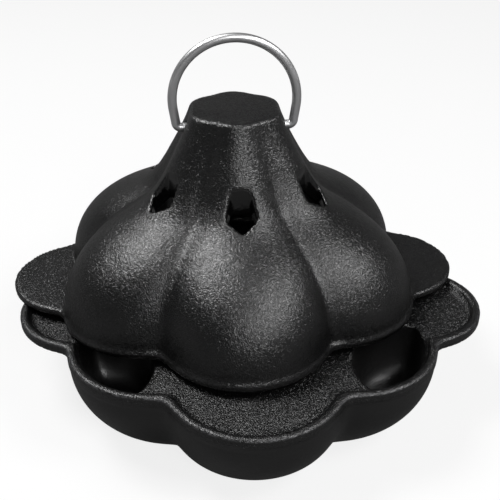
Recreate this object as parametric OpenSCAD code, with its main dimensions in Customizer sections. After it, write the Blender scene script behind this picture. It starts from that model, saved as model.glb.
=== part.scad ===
// Garlic roaster in cast iron: a scalloped pan with two flat tab handles, a bulb-shaped
// lid set ajar on the pan's rim, and a wire bail that swings in the neck of the lid.
// The origin is the centre of the pan's underside, +X runs along the tab handles, +Z is up.
// Lengths are in millimetres.

/* [Outline] */
// Length of the pan over both tab handles
span = 200; // [190:1:230]
// Reach of each of the six lobes from the centre
lobe_reach = 82.4; // [80:0.2:86]
// Radius of a lobe in plan
lobe_r = 36.4; // [34:0.2:40]
// Radius of the round end of a tab handle
tab_r = 27; // [22:0.5:30]
// Width over which neighbouring lobes run into each other
valley_w = 3; // [1.5:0.5:5]

/* [Pan] */
// Height of the pan from its underside to the top of its rim
pan_h = 40; // [36:1:50]
// Reach of the flat foot under each lobe
foot_reach = 47; // [40:1:60]
// Thickness of a tab handle at its edge
tab_t = 4.6; // [3.5:0.1:7]
// Width of the flat top of the rim
rim_w = 3; // [2:0.1:4]
// Depth of the deck below the top of the rim
deck_drop = 3; // [2:0.1:5]
// Lean of the rim's inner wall from its top to the deck
rim_lean = 1.6; // [0.5:0.1:2.5]
// Fall of the deck from the rim to its middle
deck_fall = 0.4; // [0.2:0.1:1]
// Rounding of the cast edges of the pan and the lid
edge_round = 0.8; // [0.4:0.1:1.2]

/* [Wells] */
// Distance from the pan's centre to the inner lip of a well
well_lip = 50; // [46:0.5:54]
// Radius of the inner lip in plan
well_r = 25; // [22:0.5:28]
// Gap between the rim's inner wall and the outer lip of a well
well_gap = 0.6; // [0.4:0.1:2]
// Depth of a well below the deck
well_depth = 24; // [14:1:26]

/* [Lid] */
// Height of the lid from its seat to the flat top of the neck
lid_h = 81.5; // [78:0.5:95]
// Thickness of the flange and of the lid's tabs
flange_t = 3; // [2:0.1:4]
// Step from the edge of the flange in to the dome
dome_step = 1.2; // [1:0.1:3]
// Height at which the dome's bulb would close if the lid had no neck
bulb_h = 49; // [44:0.5:54]
// Reach of the neck's flat top
neck_reach = 19.7; // [18:0.1:21]
// Widening of the neck from its top down to the shoulder
neck_flare = 17.5; // [14:0.5:20]
// Height of the neck's top above the shoulder
neck_h = 32.5; // [28:0.5:36]
// Wall of the dome and the neck
wall = 4.8; // [3:0.1:5.5]
// Thickness of the closed top of the neck
top_t = 5; // [4:0.5:8]

/* [Vents] */
// Distance from the lid's axis to the upper edge of a vent
vent_in = 32.5; // [29:0.5:34]
// Distance from the lid's axis to the widest place of a vent
vent_mid = 36.5; // [35:0.5:39]
// Distance from the lid's axis to the lower point of a vent
vent_out = 41.5; // [40:0.5:46]
// Width of the upper edge of a vent
vent_top_w = 8.4; // [6:0.2:10]
// Greatest width of a vent
vent_w = 12.6; // [9:0.2:14]
// Rounding of the corners of a vent
vent_round = 0.9; // [0.4:0.1:1.4]

/* [Bail] */
// Diameter of the bail's wire
wire_d = 3.8; // [3:0.1:4.2]
// Width of the bail between the centrelines of its sides
bail_w = 51; // [50:0.5:60]
// Height of the bail's crown above its pivot, to the centreline
bail_rise = 37; // [36:0.5:45]
// Lean of the bail's legs towards the neck
leg_lean = 8; // [2:1:14]
// Centreline radius of the bends into the neck
bend_r = 2.2; // [2.1:0.1:3]
// Depth of the pivot below the top of the neck
pivot_drop = 8.1; // [7.5:0.1:12]
// Gap all round between the wire and its bore in the neck
pivot_gap = 0.08; // [0.02:0.01:0.1]
// Length of wire that shows inside the neck
pin_show = 1.5; // [0.5:0.5:4]

/* [Lid set ajar] */
// How far the lid is set to the left of the pan's axis
ajar_left = 6.5; // [0:0.5:10]
// How far the lid is set back from the pan's axis
ajar_back = 25; // [0:0.5:32]
// Turn of the lid about its own axis
ajar_turn = 3.5; // [0:0.5:8]

/* [Hidden] */
$fn = 48;

lobe_d = lobe_reach - lobe_r;
tab_d = span/2 - tab_r;
// Share of the reach that is left in the valley between two lobes
valley = (lobe_d*cos(30) + sqrt(pow(lobe_r, 2) - pow(lobe_d/2, 2)))/lobe_reach;
// The lobes grow shallower towards the foot and towards the top of the neck
foot_valley = 0.84;
neck_valley = 0.93;
// Inset of the outline where the rim's inner wall meets the deck
deck_inset = rim_w + rim_lean;
// Slope of the tab handles' underside from the edge to the bowls
tab_slope = 1.4;

pivot_h = lid_h - pivot_drop;
loop_r = bail_w/2;
loop_h = bail_rise - loop_r;
leg_l = (bail_rise - loop_r*(1 + sin(leg_lean)) - bend_r*(1 - sin(leg_lean)))/cos(leg_lean);
pin_x = (loop_r - bend_r)*cos(leg_lean) - leg_l*sin(leg_lean);
pin_in = valley_at(pivot_h, wall) - pin_show;

// Directions of the points round a section, closer together at the tabs
quarter = concat([for (i = [0:9]) 3*i], [for (i = [0:13]) 30 + 60*i/14]);
round_up = concat(
    quarter,
    [90],
    [for (i = [len(quarter) - 1:-1:1]) 180 - quarter[i]],
    [for (a = quarter) 180 + a],
    [270],
    [for (i = [len(quarter) - 1:-1:1]) 360 - quarter[i]]
);

function total(v) = v*[for (x = v) 1];
function soft_max(v, k) = k*ln(total([for (x = v) exp(x/k)]));
function soft_min(v, k) = -soft_max([for (x = v) -x], k);

// Length of a ray in direction a to the far side of a circle of radius r, whose centre
// lies at distance d in direction c
function reach(a, c, d, r) =
    let (s = r*r - pow(d*sin(a - c), 2))
    s < 0 ? 0 : d*cos(a - c) + sqrt(s);

// The six lobes moved in by e, with their tabs moved in by t
function outline(a, e, t) = soft_max(concat(
    [for (i = [0:5]) reach(a, 30 + 60*i, lobe_d, lobe_r - e)],
    [for (c = [0, 180]) reach(a, c, tab_d, tab_r - t)]
), valley_w);

// Six lobes of reach r whose valleys lie at share v of that reach
function lobed(a, r, v) =
    let (d = r*(1 - v*v)/2/(1 - v*cos(30)))
    soft_max([for (i = [0:5]) reach(a, 30 + 60*i, d, r - d)], valley_w*r/lobe_reach);

// Reach of the lid's lobes at height z, moved in by e: a bulb that runs out into the neck
function bulb_reach(z, e) = (lobe_reach - dome_step - e)
    *pow(max(0, 1 - pow(min(1, z/(bulb_h - e)), 2.2)), 1/2.2);
function neck_reach_at(z, e) = neck_reach - 1.15*e
    + neck_flare*pow(max(0, lid_h - z)/neck_h, 1.2);
function dome_reach(z, e) = soft_max([bulb_reach(z, e), neck_reach_at(z, e)], valley_w);
function dome_valley(z) = valley + (neck_valley - valley)*z/lid_h;
function valley_at(z, e) = lobed(0, dome_reach(z, e), dome_valley(z));

function ring(z, radii) = [for (i = [0:len(round_up) - 1])
    [radii[i]*cos(round_up[i]), radii[i]*sin(round_up[i]), z]];
function outline_ring(z, e, t) = ring(z, [for (a = round_up) outline(a, e, t)]);
function lobed_ring(z, r, v) = ring(z, [for (a = round_up) lobed(a, r, v)]);
function dome_ring(z, e) = lobed_ring(z, dome_reach(z, e), dome_valley(z));

// Steps from 0 to 1 that lie closer together in the middle
function steps(n) = [for (i = [0:n]) i/n + 0.08*sin(360*i/n)];

// Skin over a stack of rings that have equally many points, closed at both ends. The last
// ring is closed flat, or with a fan up to the point tip
module skin(rings, tip = []) {
    n = len(rings[0]);
    m = len(rings);
    last = (m - 1)*n;
    polyhedron(
        points = concat([for (r = rings) each r], len(tip) > 0 ? [tip] : []),
        faces = concat(
            [[for (j = [0:n - 1]) j]],
            [for (i = [0:m - 2], j = [0:n - 1]) [i*n + j, (i + 1)*n + j, (i + 1)*n + (j + 1)%n]],
            [for (i = [0:m - 2], j = [0:n - 1]) [i*n + j, (i + 1)*n + (j + 1)%n, i*n + (j + 1)%n]],
            len(tip) > 0
                ? [for (j = [0:n - 1]) [last + j, m*n, last + (j + 1)%n]]
                : [[for (j = [n - 1:-1:0]) last + j]]
        )
    );
}

// Corner points p rounded with radius r
function rounded(p, r) = [for (i = [0:len(p) - 1])
    let (
        b = p[i],
        u = unit(p[(i + len(p) - 1)%len(p)] - b),
        w = unit(p[(i + 1)%len(p)] - b),
        half = acos(u*w)/2,
        c = b + unit(u + w)*r/sin(half),
        from = b + u*r/tan(half) - c,
        turn = (u[0]*w[1] - u[1]*w[0] > 0 ? -1 : 1)*(180 - 2*half)
    )
    for (t = [0:3]) c + [
        from[0]*cos(turn*t/3) - from[1]*sin(turn*t/3),
        from[0]*sin(turn*t/3) + from[1]*cos(turn*t/3)
    ]];
function unit(v) = v/norm(v);

// Bowls under the lobes, the tabs, the raised rim and the deck inside it
module pan_blank() {
    bowl_top = pan_h - tab_t - tab_slope;
    skin(concat(
        [for (i = [0:9]) let (s = 9*i) lobed_ring(
            bowl_top*(1 - cos(s)),
            foot_reach + (lobe_reach - 0.4 - foot_reach)*pow(sin(s), 0.9),
            foot_valley + (valley - foot_valley)*sin(s)
        )],
        [
            lobed_ring(bowl_top, lobe_reach - 0.2, valley),
            outline_ring(pan_h - tab_t, 0.1, edge_round),
            outline_ring(pan_h - tab_t + edge_round, 0, 0),
            outline_ring(pan_h - edge_round, 0, 0),
            outline_ring(pan_h - edge_round*0.3, edge_round*0.3, edge_round*0.3),
            outline_ring(pan_h, edge_round, edge_round),
            outline_ring(pan_h, rim_w, rim_w),
            outline_ring(pan_h - deck_drop, deck_inset, deck_inset)
        ]
    ), [0, 0, pan_h - deck_drop - deck_fall]);
}

// One well, in the lobe along +X: its outer lip follows the rim, its inner lip is an arc.
// Its wall runs on straight above the deck, so that the deck cuts it cleanly
module well() {
    outer = lobe_d + lobe_r - deck_inset - well_gap;
    middle = (well_lip + outer)/2;
    translate([middle, 0, pan_h - deck_drop]) skin([for (s = [90:-15:0])
        [for (a = [0:12:348]) let (
            r = soft_min([
                reach(a, 180, middle - lobe_d, outer - lobe_d),
                reach(a, 0, well_lip + well_r - middle, well_r)
            ], 1.5)*(s == 0 ? 1.003 : 0.3 + 0.7*pow(cos(s), 0.7))
        ) [r*cos(a), r*sin(a), s == 0 ? 1 : -well_depth*sin(s)]]
    ]);
}

module pan() {
    color("#26272a") difference() {
        pan_blank();
        for (a = [30, 150, 210, 330]) rotate([0, 0, a]) well();
    }
}

// Flange with its tabs, dome and neck, hollow from below
module lid_blank() {
    skin(concat(
        [for (t = steps(9)) dome_ring((lid_h - top_t)*(1 - t), wall)],
        [
            outline_ring(0, edge_round*0.6, edge_round*0.6),
            outline_ring(edge_round*0.6, 0, 0),
            outline_ring(flange_t - edge_round*0.6, 0, 0),
            outline_ring(flange_t, edge_round*0.6, edge_round*0.6)
        ],
        [for (t = steps(15)) dome_ring(flange_t + (lid_h - edge_round - flange_t)*t, 0)],
        [lobed_ring(lid_h, dome_reach(lid_h, 0) - edge_round, neck_valley)]
    ));
}

// One vent, in the lobe along +X, cut straight down as the mould draws it
module vent() {
    translate([0, 0, bulb_h/2]) linear_extrude(lid_h - top_t - bulb_h/2) polygon(rounded([
        [vent_in, -vent_top_w/2],
        [vent_mid, -vent_w/2],
        [vent_out, 0],
        [vent_mid, vent_w/2],
        [vent_in, vent_top_w/2]
    ], vent_round));
}

module lid() {
    color("#222326") set_ajar() difference() {
        lid_blank();
        for (i = [0:5]) rotate([0, 0, 30 + 60*i]) vent();
        translate([-neck_reach*2, 0, pivot_h]) rotate([0, 90, 0])
            cylinder(r = wire_d/2 + pivot_gap, h = neck_reach*4);
    }
}

// Wire bent round the origin with radius r between two directions, and a straight length
module bent(r, from, to) {
    rotate([0, 0, from]) rotate_extrude(angle = to - from) translate([r, 0]) circle(wire_d/2);
}
module straight(l) {
    rotate([90, 0, 0]) cylinder(r = wire_d/2, h = l);
}

// One end of the bail, drawn flat with the pivot on the X axis: leg, bend and pin
module bail_end() {
    translate([0, loop_h]) rotate([0, 0, -leg_lean]) translate([loop_r, 0]) straight(leg_l);
    translate([pin_x, bend_r]) bent(bend_r, -90, -leg_lean);
    translate([pin_x, 0]) rotate([0, 0, -90]) straight(pin_x - pin_in);
}

module bail() {
    color("#c9cacc") set_ajar() translate([0, 0, pivot_h]) rotate([90, 0, 0]) {
        translate([0, loop_h]) bent(loop_r, -leg_lean, 180 + leg_lean);
        for (a = [0, 180]) rotate([0, a, 0]) bail_end();
    }
}

// Places the lid, and what hangs in it, flat on the rim
module set_ajar() {
    translate([-ajar_left, ajar_back, pan_h]) rotate([0, 0, ajar_turn]) children();
}

pan();
lid();
bail();
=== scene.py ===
# Garlic roaster in cast iron: a scalloped pan, a bulb-shaped lid set ajar on it, and a wire bail.
# Lengths are in metres, in the part's own frame: X along the tab handles, Z up.
import bpy
from math import cos, e, pi, radians, sin
from mathutils import Matrix, Vector


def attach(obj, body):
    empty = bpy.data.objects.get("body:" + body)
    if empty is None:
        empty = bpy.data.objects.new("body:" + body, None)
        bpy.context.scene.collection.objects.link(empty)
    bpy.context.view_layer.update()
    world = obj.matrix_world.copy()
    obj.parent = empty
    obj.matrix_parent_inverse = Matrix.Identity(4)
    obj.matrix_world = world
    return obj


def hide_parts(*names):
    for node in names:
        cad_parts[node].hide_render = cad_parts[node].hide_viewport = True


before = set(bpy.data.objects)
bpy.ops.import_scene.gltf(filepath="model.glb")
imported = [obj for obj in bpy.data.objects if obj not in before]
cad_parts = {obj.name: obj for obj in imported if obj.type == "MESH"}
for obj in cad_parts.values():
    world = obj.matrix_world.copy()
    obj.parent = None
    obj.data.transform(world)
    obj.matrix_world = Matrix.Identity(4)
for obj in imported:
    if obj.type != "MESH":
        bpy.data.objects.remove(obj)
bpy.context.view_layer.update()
scene = bpy.context.scene


# ---------------------------------------------------------------------------
# Pan: one sand casting in grey iron. Six round bowls in plan with a tab handle left and right,
# a raised rim, a deck just inside it, and four wells sunk into the deck. The mould leaves every
# edge and corner soft. It is seasoned black with baked oil.

class Reading:
    """A number in a node tree, which adds and multiplies like a plain one."""

    def __init__(self, tree, socket):
        self.tree, self.socket = tree, socket

    def to(self, operation, *others):
        node = self.tree.nodes.new("ShaderNodeMath")
        node.operation = operation
        for place, value in enumerate((self,) + others):
            if isinstance(value, Reading):
                self.tree.links.new(value.socket, node.inputs[place])
            else:
                node.inputs[place].default_value = value
        return Reading(self.tree, node.outputs[0])

    def __add__(self, other): return self.to("ADD", other)
    def __radd__(self, other): return self.to("ADD", other)
    def __sub__(self, other): return self.to("SUBTRACT", other)
    def __rsub__(self, other): return self.to("MULTIPLY", -1.0).to("ADD", other)
    def __mul__(self, other): return self.to("MULTIPLY", other)
    def __rmul__(self, other): return self.to("MULTIPLY", other)
    def __truediv__(self, other): return self.to("DIVIDE", other)
    def __rtruediv__(self, other): return self.to("POWER", -1.0).to("MULTIPLY", other)
    def __pow__(self, other): return self.to("POWER", other)
    def __neg__(self): return self.to("MULTIPLY", -1.0)
    def most(self, other): return self.to("MAXIMUM", other)
    def least(self, other): return self.to("MINIMUM", other)
    def root(self): return self.most(0.0).to("SQRT")


def sized_tree(name, sizes, takes, gives):
    """A node tree with named sizes as inputs. Returns it, its sizes, its input and its output."""
    tree = bpy.data.node_groups.new(name, "GeometryNodeTree")
    for label, kind in takes:
        tree.interface.new_socket(label, in_out="INPUT", socket_type=kind)
    for label, value in sizes.items():
        socket = tree.interface.new_socket(label, in_out="INPUT", socket_type="NodeSocketFloat")
        socket.default_value = value
    for label, kind in gives:
        tree.interface.new_socket(label, in_out="OUTPUT", socket_type=kind)
    source, sink = tree.nodes.new("NodeGroupInput"), tree.nodes.new("NodeGroupOutput")
    return tree, {s: Reading(tree, source.outputs[s]) for s in sizes}, source, sink


def parts_of(tree, socket):
    """The X, Y and Z of a vector."""
    node = tree.nodes.new("ShaderNodeSeparateXYZ")
    tree.links.new(socket, node.inputs[0])
    return [Reading(tree, node.outputs[k]) for k in range(3)]


def soft_most(a, b, width):
    """The greater of two numbers, blended where they are close."""
    gap = -(a - b).to("ABSOLUTE") / width
    return a.most(b) + (gap.to("EXPONENT") + 1.0).to("LOGARITHM", e) * width


def soft_least(a, b, width):
    """The smaller of two numbers, blended where they are close."""
    return -soft_most(-a, -b, width)


blend_per_radius = 1.76     # width of a smooth maximum that rounds a square edge to a radius of 1
hair = 1e-6                 # keeps a division off zero on the axis


def rounded_cut(a, b, radius):
    """What lies in both forms, with the edge between them rounded."""
    return a.to("SMOOTH_MAX", b, radius * blend_per_radius)


def filled_joint(a, b, radius):
    """What lies in either form, with the corner between them filled."""
    return a.to("SMOOTH_MIN", b, radius * blend_per_radius)


def reach(along, across, distance, radius):
    """Length of a ray to the far side of a circle that lies at that distance."""
    return distance * along + (radius * radius - (distance * across) ** 2).root()


def plan_of(tree, x, y, s):
    """The plan that both castings share, at a point: distance from the axis, directions of the two
    nearest lobes, distance of a lobe's centre, share of the reach that a valley keeps, the outline
    for a given inset, and six lobes of a given size.
    """
    r = (x * x + y * y).root().most(hair)
    turn = y.to("ARCTAN2", x).to("WRAP", pi / 3, 0.0)
    near = (turn - pi / 6).to("ABSOLUTE")
    far = pi / 3 - near
    rays = [(a.to("COSINE"), a.to("SINE")) for a in (near, far)]
    soft_width = s["Valley softness"]
    lobe_d = s["Lobe reach"] - s["Lobe radius"]
    tab_d = s["Half span"] - s["Tab radius"]

    def outline(inset):
        lobe_radius, tab_radius = s["Lobe radius"] - inset, s["Tab radius"] - inset
        lobes = soft_most(*[reach(c, n, lobe_d, lobe_radius) for c, n in rays], soft_width)
        tab = reach(x.to("ABSOLUTE") / r, y / r, tab_d, tab_radius)
        return soft_most(lobes, tab, soft_width)

    def lobed(size, share, soft=1.0):
        d = size * (1.0 - share * share) / 2.0 / (1.0 - share * cos(pi / 6))
        width = soft_width * soft * size / s["Lobe reach"]
        return soft_most(*[reach(c, n, d, size - d) for c, n in rays], width)

    chord = (s["Lobe radius"] ** 2 - (lobe_d / 2.0) ** 2).root()
    share = (lobe_d * cos(pi / 6) + chord) / s["Lobe reach"]
    return r, rays, lobe_d, share, outline, lobed


outline_sizes = {
    "Lobe reach": 0.0824, "Lobe radius": 0.0364, "Half span": 0.09999, "Tab radius": 0.027,
    "Valley softness": 0.003,
}
pan_sizes = outline_sizes | {
    "Height": 0.04, "Foot reach": 0.047, "Foot valley": 0.84, "Tab thickness": 0.0046,
    "Bowl step": 0.0014, "Bowl inset": 0.0004, "Rim width": 0.003, "Rim lean": 0.0016,
    "Deck drop": 0.003, "Deck fall": 0.0004, "Edge": 0.0008, "Fillet": 0.0012,
    "Well lip": 0.05, "Well radius": 0.025, "Well gap": 0.0006, "Well depth": 0.024,
    "Well corner": 0.0015, "Well floor round": 0.004,
}


def pan_form():
    """How far a point lies outside the pan's iron, a well, and the plan's outline."""
    tree, s, source, sink = sized_tree(
        "pan_form", pan_sizes, [("At", "NodeSocketVector")],
        [(label, "NodeSocketFloat") for label in ("Outside", "Well", "Plan edge")])
    x, y, z = parts_of(tree, source.outputs["At"])
    r, _, lobe_d, share, outline, lobed = plan_of(tree, x, y, s)

    # The bowls, round in section down to the flat foot
    bowl_swell = 0.9
    bowl_top = s["Height"] - s["Tab thickness"] - s["Bowl step"]
    level = (1.0 - z / bowl_top).most(0.0).least(1.0)
    side = (1.0 - level * level).root()
    top_reach = s["Lobe reach"] - s["Bowl inset"]
    size = s["Foot reach"] + (top_reach - s["Foot reach"]) * side ** bowl_swell
    bowls = (r - lobed(size, s["Foot valley"] + (share - s["Foot valley"]) * side)).most(-z)
    bowls = bowls.most(z - (s["Height"] - s["Tab thickness"] / 2.0))

    # The plate of the tabs and rim
    edge = r - outline(0.0)
    half = s["Tab thickness"] / 2.0
    plate = rounded_cut(edge, (z - (s["Height"] - half)).to("ABSOLUTE") - half, s["Edge"])
    iron = filled_joint(plate, bowls, s["Fillet"]).most(edge)

    # The recess inside the rim, with a leaning wall
    inner = outline(s["Rim width"] + s["Rim lean"])
    deck = s["Height"] - s["Deck drop"] - s["Deck fall"] * (1.0 - r / inner).most(0.0)
    inset = s["Rim width"] + s["Rim lean"] * (s["Height"] - z) / s["Deck drop"]
    recess = rounded_cut(r - outline(inset), deck - z, s["Fillet"])
    iron = rounded_cut(iron, -recess, s["Edge"])

    # The well of the lobe in this quarter: steep under its lip, then round to its floor
    well_curve, curved_share, deepest = 0.35, 0.7, 0.995
    across, along = x.to("ABSOLUTE"), y.to("ABSOLUTE")
    outer = s["Lobe reach"] - s["Rim width"] - s["Rim lean"] - s["Well gap"]
    middle = (s["Well lip"] + outer) / 2.0
    u = across * cos(pi / 6) + along * sin(pi / 6) - middle
    w = along * cos(pi / 6) - across * sin(pi / 6)
    q = (u * u + w * w).root().most(hair)
    lip = soft_least(
        reach(-u / q, w / q, middle - lobe_d, outer - lobe_d),
        reach(u / q, w / q, s["Well lip"] + s["Well radius"] - middle, s["Well radius"]),
        s["Well corner"])
    depth = ((deck - z) / s["Well depth"]).most(0.0).least(deepest)
    curve = (1.0 - depth * depth) ** well_curve * curved_share + (1.0 - curved_share)
    well = rounded_cut(q - lip * curve, deck - s["Well depth"] - z, s["Well floor round"])
    iron = rounded_cut(iron, -well, s["Fillet"])
    for label, answer in {"Outside": iron, "Well": well, "Plan edge": edge}.items():
        tree.links.new(answer.socket, sink.inputs[label])
    return tree


def asked(tree, form, at, s, label="Outside"):
    """A form's answer at a point."""
    node = tree.nodes.new("GeometryNodeGroup")
    node.node_tree = form
    tree.links.new(at, node.inputs["At"])
    for size, value in s.items():
        tree.links.new(value.socket, node.inputs[size])
    return Reading(tree, node.outputs[label])


def ramp(value, low, high):
    """0 at low, 1 at high, straight between them and level outside."""
    return ((value - low) / (high - low)).most(0.0).least(1.0)


def shifted(tree, at, way):
    """A point moved a way."""
    node = tree.nodes.new("ShaderNodeVectorMath")
    tree.links.new(at, node.inputs[0])
    node.inputs[1].default_value = way
    return node.outputs[0]


def finished(tree, flow, place, material, sink):
    """The end of a piece's tree: set in its place, smooth, made real, and given its material."""
    set_down = tree.nodes.new("GeometryNodeTransform")
    set_down.inputs["Translation"].default_value = place[0]
    set_down.inputs["Rotation"].default_value = place[1]
    smooth = tree.nodes.new("GeometryNodeSetShadeSmooth")
    real = tree.nodes.new("GeometryNodeRealizeInstances")
    coat = tree.nodes.new("GeometryNodeSetMaterial")
    coat.inputs["Material"].default_value = material
    for node in (set_down, smooth, real, coat):
        tree.links.new(flow, node.inputs["Geometry"])
        flow = node.outputs[0]
    tree.links.new(flow, sink.inputs[0])


def casting(name, form, sizes, low, high, place, marks, material):
    """A plain mesh of a form: a grid of samples is skinned, and its points are drawn onto the form.
    Each mark is a name, an answer of the form, and where the mark is 1 and where it is 0.
    """
    grid_step, skin_band, slope_step, pulls, least_slope = 0.0011, 0.004, 2e-5, 3, 0.5
    tree, s, source, sink = sized_tree(
        name, sizes | {"Grain of grid": grid_step}, [("Geometry", "NodeSocketGeometry")],
        [("Geometry", "NodeSocketGeometry")])
    grain = s.pop("Grain of grid")
    nodes, link = tree.nodes, tree.links.new
    here = nodes.new("GeometryNodeInputPosition").outputs[0]
    block = nodes.new("GeometryNodeVolumeCube")
    density = 0.5 - asked(tree, form, here, s) / skin_band
    link(density.most(0.0).least(1.0).socket, block.inputs["Density"])
    block.inputs["Min"].default_value, block.inputs["Max"].default_value = low, high
    for axis, label in enumerate(("Resolution X", "Resolution Y", "Resolution Z")):
        link(((high[axis] - low[axis]) / grain).socket, block.inputs[label])
    skin = nodes.new("GeometryNodeVolumeToMesh")
    skin.inputs["Threshold"].default_value = 0.5
    link(block.outputs[0], skin.inputs["Volume"])
    flow = skin.outputs[0]
    for _ in range(pulls):
        value = asked(tree, form, here, s)
        slopes = [
            (asked(tree, form, shifted(tree, here, way), s) - value) / slope_step
            for way in ((slope_step, 0, 0), (0, slope_step, 0), (0, 0, slope_step))]
        steep = slopes[0] * slopes[0] + slopes[1] * slopes[1] + slopes[2] * slopes[2]
        pull = -value.least(grid_step * 0.5).most(-grid_step * 0.5) / steep.most(least_slope)
        join = nodes.new("ShaderNodeCombineXYZ")
        for k in range(3):
            link((slopes[k] * pull).socket, join.inputs[k])
        move = nodes.new("GeometryNodeSetPosition")
        link(flow, move.inputs["Geometry"])
        link(join.outputs[0], move.inputs["Offset"])
        flow = move.outputs[0]
    for label, answer, full, none in marks:
        note = nodes.new("GeometryNodeStoreNamedAttribute")
        note.data_type, note.domain = "FLOAT", "POINT"
        note.inputs["Name"].default_value = label
        link(flow, note.inputs["Geometry"])
        link(ramp(asked(tree, form, here, s, answer), none, full).socket, note.inputs["Value"])
        flow = note.outputs[0]
    finished(tree, flow, place, material, sink)
    return made_plain(name, tree, sizes)


def made_plain(name, tree, sizes):
    """The tree's result as a plain mesh object at the origin."""
    holder = bpy.data.objects.new(name + "_maker", bpy.data.meshes.new(name + "_maker"))
    scene.collection.objects.link(holder)
    modifier = holder.modifiers.new(name, "NODES")
    modifier.node_group = tree
    for socket in tree.interface.items_tree:
        if socket.in_out == "INPUT" and socket.name in sizes:
            modifier[socket.identifier] = sizes[socket.name]
    result = holder.evaluated_get(bpy.context.evaluated_depsgraph_get())
    mesh = bpy.data.meshes.new_from_object(result)
    bpy.data.objects.remove(holder)
    piece = bpy.data.objects.new(name, mesh)
    scene.collection.objects.link(piece)
    return piece


def new_material(name):
    """A node material, its tree and its shader."""
    material = bpy.data.materials.new(name)
    material.use_nodes = True
    return material, material.node_tree, material.node_tree.nodes["Principled BSDF"]


def noise(tree, at, size, detail=0.0, stretch=None):
    """Smooth noise with features of that size in metres, about 0 to 1."""
    node = tree.nodes.new("ShaderNodeTexNoise")
    node.inputs["Scale"].default_value = 1.0 / size
    node.inputs["Detail"].default_value = detail
    if stretch:
        squeeze = tree.nodes.new("ShaderNodeMapping")
        squeeze.inputs["Scale"].default_value = stretch
        tree.links.new(at, squeeze.inputs["Vector"])
        at = squeeze.outputs[0]
    tree.links.new(at, node.inputs["Vector"])
    return Reading(tree, node.outputs["Fac"])


def noted(tree, label):
    """A mark that the mesh carries, 0 to 1."""
    node = tree.nodes.new("ShaderNodeAttribute")
    node.attribute_name = label
    return Reading(tree, node.outputs["Fac"])


def mixed(tree, share, first, second):
    """A colour between two, by share."""
    node = tree.nodes.new("ShaderNodeMix")
    node.data_type = "RGBA"
    tree.links.new(share.socket, node.inputs["Factor"])
    colour_inputs = (6, 7)
    for place, value in zip(colour_inputs, (first, second)):
        if isinstance(value, tuple):
            node.inputs[place].default_value = (*value, 1)
        else:
            tree.links.new(value, node.inputs[place])
    return node.outputs[2]


def facets(tree, at, size, tilt):
    """The surface's normal, leaning another way in each grain of sand printed by the mould."""
    cell = tree.nodes.new("ShaderNodeTexVoronoi")
    cell.inputs["Scale"].default_value = 1.0 / size
    tree.links.new(at, cell.inputs["Vector"])
    steps = [tree.nodes.new("ShaderNodeVectorMath") for _ in range(4)]
    for node, operation in zip(steps, ("SUBTRACT", "SCALE", "ADD", "NORMALIZE")):
        node.operation = operation
    centred, lean, sum_up, even = steps
    centred.inputs[1].default_value = (0.5, 0.5, 0.5)
    tree.links.new(cell.outputs["Color"], centred.inputs[0])
    tree.links.new(centred.outputs[0], lean.inputs[0])
    tree.links.new(tilt.socket, lean.inputs["Scale"])
    upright = tree.nodes.new("ShaderNodeNewGeometry").outputs["Normal"]
    tree.links.new(upright, sum_up.inputs[0])
    tree.links.new(lean.outputs[0], sum_up.inputs[1])
    tree.links.new(sum_up.outputs[0], even.inputs[0])
    return even.outputs[0]


def black_iron(name, finish):
    """Sand-cast iron under baked oil. finish gives, for each place, how deep the grain is, how much
    duller than the rest it is, and the share that handling has rubbed bare.
    """
    grain, clump_size, fine_size, wave_size, patch_size = 0.0005, 0.0011, 0.0003, 0.009, 0.028
    facet_size, facet_tilt, relief = 0.0006, 0.2, 0.00022
    fresh_oil, thin_oil = (0.0018, 0.0018, 0.002), (0.0035, 0.0033, 0.0033)
    bare_iron = (0.16, 0.16, 0.165)
    material, tree, shader = new_material(name)
    at = tree.nodes.new("ShaderNodeTexCoord").outputs["Object"]
    depth, dull, bare = finish(tree, at)
    sand, clump, fine, wave = [
        noise(tree, at, size, 1.0) for size in (grain, clump_size, fine_size, wave_size)]
    patches = noise(tree, at, patch_size, 3.0)

    bump = tree.nodes.new("ShaderNodeBump")
    bump.inputs["Strength"].default_value = 1.0
    bump.inputs["Distance"].default_value = relief
    height = (sand + clump * 0.5) * depth + wave * 0.2
    tree.links.new(height.socket, bump.inputs["Height"])
    tree.links.new(facets(tree, at, facet_size, depth * facet_tilt), bump.inputs["Normal"])
    tree.links.new(bump.outputs[0], shader.inputs["Normal"])

    base_roughness, patchy, speckled = 0.26, 0.08, 0.12
    glaze = base_roughness + patches * patchy + (fine - 0.5) * speckled + dull
    tree.links.new(glaze.socket, shader.inputs["Roughness"])
    oil = mixed(tree, ramp(patches, 0.35, 0.65), fresh_oil, thin_oil)
    bare = bare * ramp(noise(tree, at, 0.002, 2.0), 0.35, 0.6)
    tree.links.new(mixed(tree, bare, oil, bare_iron), shader.inputs["Base Color"])
    tree.links.new(bare.socket, shader.inputs["Metallic"])
    shader.inputs["Specular IOR Level"].default_value = 0.85
    return material


def pan_finish(tree, at):
    """Coarse on the deck, rim and tabs, smooth in the wells and on the bowls, rubbed on the rim."""
    high = parts_of(tree, at)[2]
    well, top = noted(tree, "well"), ramp(high, 0.0355, 0.0366)
    deck = top * (1.0 - ramp(high, 0.0375, 0.0385)) * (1.0 - well)
    streaks = noise(tree, at, 0.0015, 1.0, stretch=(1, 1, 0.06))
    coarse = (top * (1.0 - well) * 1.1 + deck * 0.8).most(0.12)
    depth = coarse + (1.0 - top) * (1.0 - well) * streaks * 0.25
    dull = (1.0 - top) * 0.1 + well * 0.12
    bare = noted(tree, "edge") * ramp(high, 0.0388, 0.0394) * 0.5
    return depth, dull, bare


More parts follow.
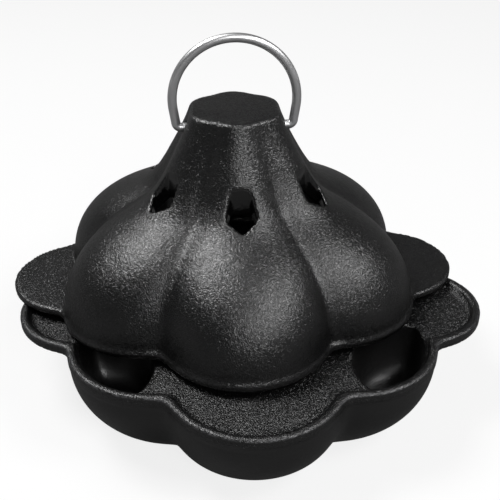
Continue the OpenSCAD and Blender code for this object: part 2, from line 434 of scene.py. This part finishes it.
in_place = ((0, 0, 0), (0, 0, 0))
pan = casting("pan_casting", pan_form(), pan_sizes, (-0.102, -0.085, -0.0015),
              (0.102, 0.085, 0.0415), in_place,
              [("well", "Well", -0.001, 0.0), ("edge", "Plan edge", -0.0001, -0.0012)],
              black_iron("pan_iron", pan_finish))
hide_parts("pan")
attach(pan, "roaster")


# ---------------------------------------------------------------------------
# Lid: one iron casting like the pan, hollow from below. A flat flange with the pan's outline and
# tabs, a dome of six lobes that run up into a fluted neck, a vent in each lobe, and a bore through
# the neck for the bail. It rests loose on the pan's rim, set ajar.

pivot_height = 0.0734
lid_sizes = outline_sizes | {
    "Lobe reach": 0.0823, "Half span": 0.0999, "Height": 0.08149, "Flange": 0.003,
    "Dome step": 0.0008, "Bulb height": 0.049, "Neck reach": 0.0197, "Neck flare": 0.0175,
    "Neck height": 0.0325, "Neck valley": 0.87, "Neck blend": 0.012, "Crease": 0.036,
    "Wall": 0.0048, "Top": 0.005, "Edge": 0.0005, "Fillet": 0.0012,
    "Vent in": 0.0308, "Vent middle": 0.0362, "Vent out": 0.0426, "Vent top": 0.0088,
    "Vent width": 0.0130, "Vent edge": 0.0006, "Vent lip": 0.0011, "Vent tip": 0.0018,
    "Pivot height": pivot_height, "Bore": 0.0021,
}


def lid_form():
    """How far a point lies outside the lid's iron, its hollow, a vent, and the plan's outline."""
    tree, s, source, sink = sized_tree(
        "lid_form", lid_sizes, [("At", "NodeSocketVector")],
        [(label, "NodeSocketFloat") for label in ("Outside", "Hollow", "Vent", "Plan edge")])
    x, y, z = parts_of(tree, source.outputs["At"])
    r, rays, _, share, outline, lobed = plan_of(tree, x, y, s)

    # The six folds of the dome and neck. Their creases start as deep as the outline's and get
    # shallower and softer towards the top.
    crease_softness, softer_above = 0.6, 1.6
    fold = ((z - s["Crease"]) / (s["Height"] - s["Crease"])).most(0.0)
    valley = share + (s["Neck valley"] - share) * fold
    folds = lobed(1.0, valley, crease_softness + fold * softer_above)
    crest = r / folds

    # A bulb that sweeps up into the neck. The hollow is the same form further in, and narrower
    # still in the neck.
    swell, least_slope, flare_curve, neck_wall, neck_slope = 2.2, 5.0, 1.2, 1.8, 0.84

    def dome(inset):
        wide, tall = s["Lobe reach"] - s["Dome step"] - inset, s["Bulb height"] - inset
        out, up = crest / wide, (z / tall).most(0.0)
        slope_out, slope_up = out ** (swell - 1.0) / wide, up ** (swell - 1.0) / tall
        steep = (slope_out ** 2 + slope_up ** 2).root() * swell
        bulb = (out ** swell + up ** swell - 1.0) / steep.most(least_slope)
        flare = ((s["Height"] - z) / s["Neck height"]).most(0.0) ** flare_curve
        neck_reach = s["Neck reach"] - inset * neck_wall + s["Neck flare"] * flare
        return bulb.to("SMOOTH_MIN", (crest - neck_reach) * neck_slope, s["Neck blend"]) * folds

    edge = r - outline(0.0)
    half = s["Flange"] / 2.0
    flange = rounded_cut(edge, (z - half).to("ABSOLUTE") - half, s["Edge"])
    iron = filled_joint(flange, dome(0.0), s["Fillet"]).most(edge).most(-z)
    iron = rounded_cut(iron, z - s["Height"], s["Fillet"])
    hollow = rounded_cut(dome(s["Wall"]), z - (s["Height"] - s["Top"]), s["Fillet"])
    iron = rounded_cut(iron, -hollow, s["Edge"])

    # Half of a vent, cut straight down: its upper edge, its two slanting sides and its round tip
    along, across = r * rays[0][0], r * rays[0][1]
    across = (across * across + s["Vent tip"] ** 2).root()
    vent = s["Vent in"] - along
    corners = [(s["Vent in"], s["Vent top"] / 2.0), (s["Vent middle"], s["Vent width"] / 2.0),
               (s["Vent out"], None)]
    for (a, b), (c, d) in zip(corners, corners[1:]):
        run, rise = c - a, (d - b) if d else -b
        far = (run * run + rise * rise).root()
        vent = rounded_cut(vent, ((across - b) * run - (along - a) * rise) / far, s["Vent edge"])
    vent = vent.most(s["Bulb height"] / 2.0 - z)
    iron = rounded_cut(iron, -vent, s["Vent lip"])

    bore = (y * y + (z - s["Pivot height"]) ** 2).root() - s["Bore"]
    iron = rounded_cut(iron, -bore, s["Edge"])
    answers = {"Outside": iron, "Hollow": hollow, "Vent": vent, "Plan edge": edge}
    for label, answer in answers.items():
        tree.links.new(answer.socket, sink.inputs[label])
    return tree


def lid_finish(tree, at):
    """Sand all over, dull inside, smooth in the vents, and rubbed a little along the flange."""
    hollow, vent = noted(tree, "hollow"), noted(tree, "vent")
    depth = 1.0 - (hollow * 0.5).most(vent * 0.8)
    dull = hollow * 0.35 * (1.0 - vent) - vent * 0.15
    bare = noted(tree, "edge") * ramp(parts_of(tree, at)[2], 0.0420, 0.0426) * 0.12
    return depth, dull, bare


ajar = ((-0.0065, 0.025, 0.04), (0, 0, radians(3.5)))
lid = casting("lid_casting", lid_form(), lid_sizes, (-0.102, -0.085, -0.0015),
              (0.102, 0.085, 0.083), ajar,
              [("hollow", "Hollow", 0.001, 0.002), ("vent", "Vent", 0.0002, 0.0008),
               ("edge", "Plan edge", -0.0001, -0.0008)],
              black_iron("lid_iron", lid_finish))
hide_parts("lid")
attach(lid, "roaster")


# ---------------------------------------------------------------------------
# Bail: one length of bright steel wire, drawn smooth. It is bent to a round loop whose legs lean in
# to the neck, and its two ends turn in and spring into the bore.

bail_sizes = {
    "Wire": 0.0038, "Loop radius": 0.0255, "Rise": 0.03699, "Lean": radians(8), "Bend": 0.0022,
    "Pin end": 0.0146,
}


def bail_tree(material):
    """The wire: a straight line of points is wound onto the loop, with a round section."""
    points_along, points_round = 361, 32
    tree, s, source, sink = sized_tree(
        "bail_wire", bail_sizes, [("Geometry", "NodeSocketGeometry")],
        [("Geometry", "NodeSocketGeometry")])
    nodes, link = tree.nodes, tree.links.new
    big, small, lean = s["Loop radius"], s["Bend"], s["Lean"]
    high = s["Rise"] - big
    tilt, level = lean.to("SINE"), lean.to("COSINE")
    leg = (s["Rise"] - big * (tilt + 1.0) - small * (1.0 - tilt)) / level
    pin_x = (big - small) * level - leg * tilt
    # Lengths along the wire from the crown to the end of each stretch: arc, leg, bend and pin
    one = big * (lean + pi / 2)
    two = one + leg
    three = two + small * (pi / 2 - lean)
    end = three + pin_x - s["Pin end"]

    line = nodes.new("GeometryNodeCurvePrimitiveLine")
    line.inputs["Start"].default_value, line.inputs["End"].default_value = (-1, 0, 0), (1, 0, 0)
    many = nodes.new("GeometryNodeResampleCurve")
    many.inputs["Count"].default_value = points_along
    link(line.outputs[0], many.inputs["Curve"])
    side = parts_of(tree, nodes.new("GeometryNodeInputPosition").outputs[0])[0]
    far = side.to("ABSOLUTE") * end
    turn = pi / 2 - far.least(one) / big
    x = big * turn.to("COSINE")
    z = high + big * turn.to("SINE")
    down = far.most(one).least(two) - one
    x, z = x - down * tilt, z - down * level
    bend = (far.most(two).least(three) - two) / small + lean
    x, z = x + small * (bend.to("COSINE") - level), z - small * (bend.to("SINE") - tilt)
    x = x - (far.most(three) - three)

    join = nodes.new("ShaderNodeCombineXYZ")
    link((x * side.to("SIGN")).socket, join.inputs[0])
    link(z.socket, join.inputs[2])
    path = nodes.new("GeometryNodeSetPosition")
    link(many.outputs[0], path.inputs["Geometry"])
    link(join.outputs[0], path.inputs["Position"])
    section = nodes.new("GeometryNodeCurvePrimitiveCircle")
    section.inputs["Resolution"].default_value = points_round
    link((s["Wire"] / 2.0).socket, section.inputs["Radius"])
    wire = nodes.new("GeometryNodeCurveToMesh")
    wire.inputs["Fill Caps"].default_value = True
    link(path.outputs[0], wire.inputs["Curve"])
    link(section.outputs[0], wire.inputs["Profile Curve"])
    lift = nodes.new("GeometryNodeTransform")
    link(wire.outputs[0], lift.inputs["Geometry"])
    lift.inputs["Translation"].default_value = (0, 0, pivot_height)
    finished(tree, lift.outputs[0], ajar, material, sink)
    return tree


def bright_wire():
    """Clean steel, satin from the drawing die."""
    material, _, shader = new_material("bail_wire")
    shader.inputs["Base Color"].default_value = (0.88, 0.88, 0.89, 1)
    shader.inputs["Metallic"].default_value = 1.0
    shader.inputs["Roughness"].default_value = 0.38
    return material


bail = made_plain("bail_wire", bail_tree(bright_wire()), bail_sizes)
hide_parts("bail")
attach(bail, "bail")


# ---------------------------------------------------------------------------
# Studio: a white floor, a soft lamp high on each side and a weak one in front, in a white world
# that hardly lights. In gloss both floor and world are dark, but for the horizon and a weak glow
# behind, so that black iron stays black, as with dark cards round it.

def seen(tree):
    """1 for what the camera sees directly or through glass, and 1 for what it sees in gloss."""
    path = tree.nodes.new("ShaderNodeLightPath")
    kinds = "Is Camera Ray", "Is Glossy Ray", "Is Transmission Ray"
    direct, gloss, glass = [Reading(tree, path.outputs[kind]) for kind in kinds]
    return direct.most(glass), gloss * (1.0 - direct)


floor_half, floor_pale, floor_dark = 4, (0.9, 0.9, 0.9), (0.11, 0.11, 0.11)
glow_straight, glow_gloss = 0.82, 0.04
floor = bpy.data.objects.new("floor", bpy.data.meshes.new("floor"))
corners = [(floor_half * a, floor_half * b, 0) for a, b in ((-1, -1), (1, -1), (1, 1), (-1, 1))]
floor.data.from_pydata(corners, [], [(0, 1, 2, 3)])
scene.collection.objects.link(floor)
white, tree, shader = new_material("white_floor")
tree.nodes.remove(shader)
paint = tree.nodes.new("ShaderNodeBsdfDiffuse")
glow = tree.nodes.new("ShaderNodeEmission")
blend = tree.nodes.new("ShaderNodeMixShader")
glow.inputs["Color"].default_value = (1, 1, 1, 1)
straight, gloss = seen(tree)
tree.links.new(mixed(tree, straight, floor_dark, floor_pale), paint.inputs["Color"])
tree.links.new((straight * glow_straight + gloss * glow_gloss).socket, blend.inputs[0])
tree.links.new(paint.outputs[0], blend.inputs[1])
tree.links.new(glow.outputs[0], blend.inputs[2])
tree.links.new(blend.outputs[0], tree.nodes["Material Output"].inputs["Surface"])
floor.data.materials.append(white)

horizon, dark_above, glow_behind, world_light = 0.05, 0.95, 0.11, 0.06
world = bpy.data.worlds.new("studio")
world.use_nodes = True
tree = world.node_tree
tree.nodes["Background"].inputs["Color"].default_value = (1, 1, 1, 1)
straight, gloss = seen(tree)
_, behind, high = parts_of(tree, tree.nodes.new("ShaderNodeTexCoord").outputs["Generated"])
backdrop = (1.0 - ramp(high, 0.0, horizon) * dark_above).most(ramp(behind, 0.1, 0.9) * glow_behind)
tree.links.new((straight + gloss * backdrop + (1.0 - straight - gloss) * world_light).socket,
               tree.nodes["Background"].inputs["Strength"])
scene.world = world
scene.view_settings.view_transform = "Standard"

# Each lamp is turned about the object from the front, and lifted, in degrees
lamp_aim = Vector((0, 0, 0.07))
for name, turn, lift, distance, wide, tall, watts in (
        ("left", -110, 60, 1.0, 0.4, 0.4, 7.8), ("right", 70, 47, 1.0, 0.36, 0.4, 4.7),
        ("front", 18, 36, 1.0, 0.28, 0.28, 2.8)):
    lamp = bpy.data.lights.new(name, "AREA")
    lamp.shape, lamp.size, lamp.size_y, lamp.energy = "RECTANGLE", wide, tall, watts
    stand = bpy.data.objects.new(name, lamp)
    turn, lift = radians(turn), radians(lift)
    way = Vector((sin(turn) * cos(lift), -cos(turn) * cos(lift), sin(lift)))
    stand.location = lamp_aim + way * distance
    stand.rotation_euler = (-way).to_track_quat("-Z", "Y").to_euler()
    scene.collection.objects.link(stand)

camera = bpy.data.objects.new("camera", bpy.data.cameras.new("camera"))
scene.collection.objects.link(camera)
camera.data.sensor_width, camera.data.lens = 36.0, 57.6
camera.location = (-0.0090, -0.2854, 0.2438)
camera_aim, camera_roll = Vector((-0.00073, 0, 0.0680)), radians(0.27)
sight = (camera_aim - camera.location).normalized().to_track_quat("-Z", "Y").to_matrix()
camera.rotation_euler = (sight @ Matrix.Rotation(camera_roll, 3, "Z")).to_euler()
scene.camera = camera
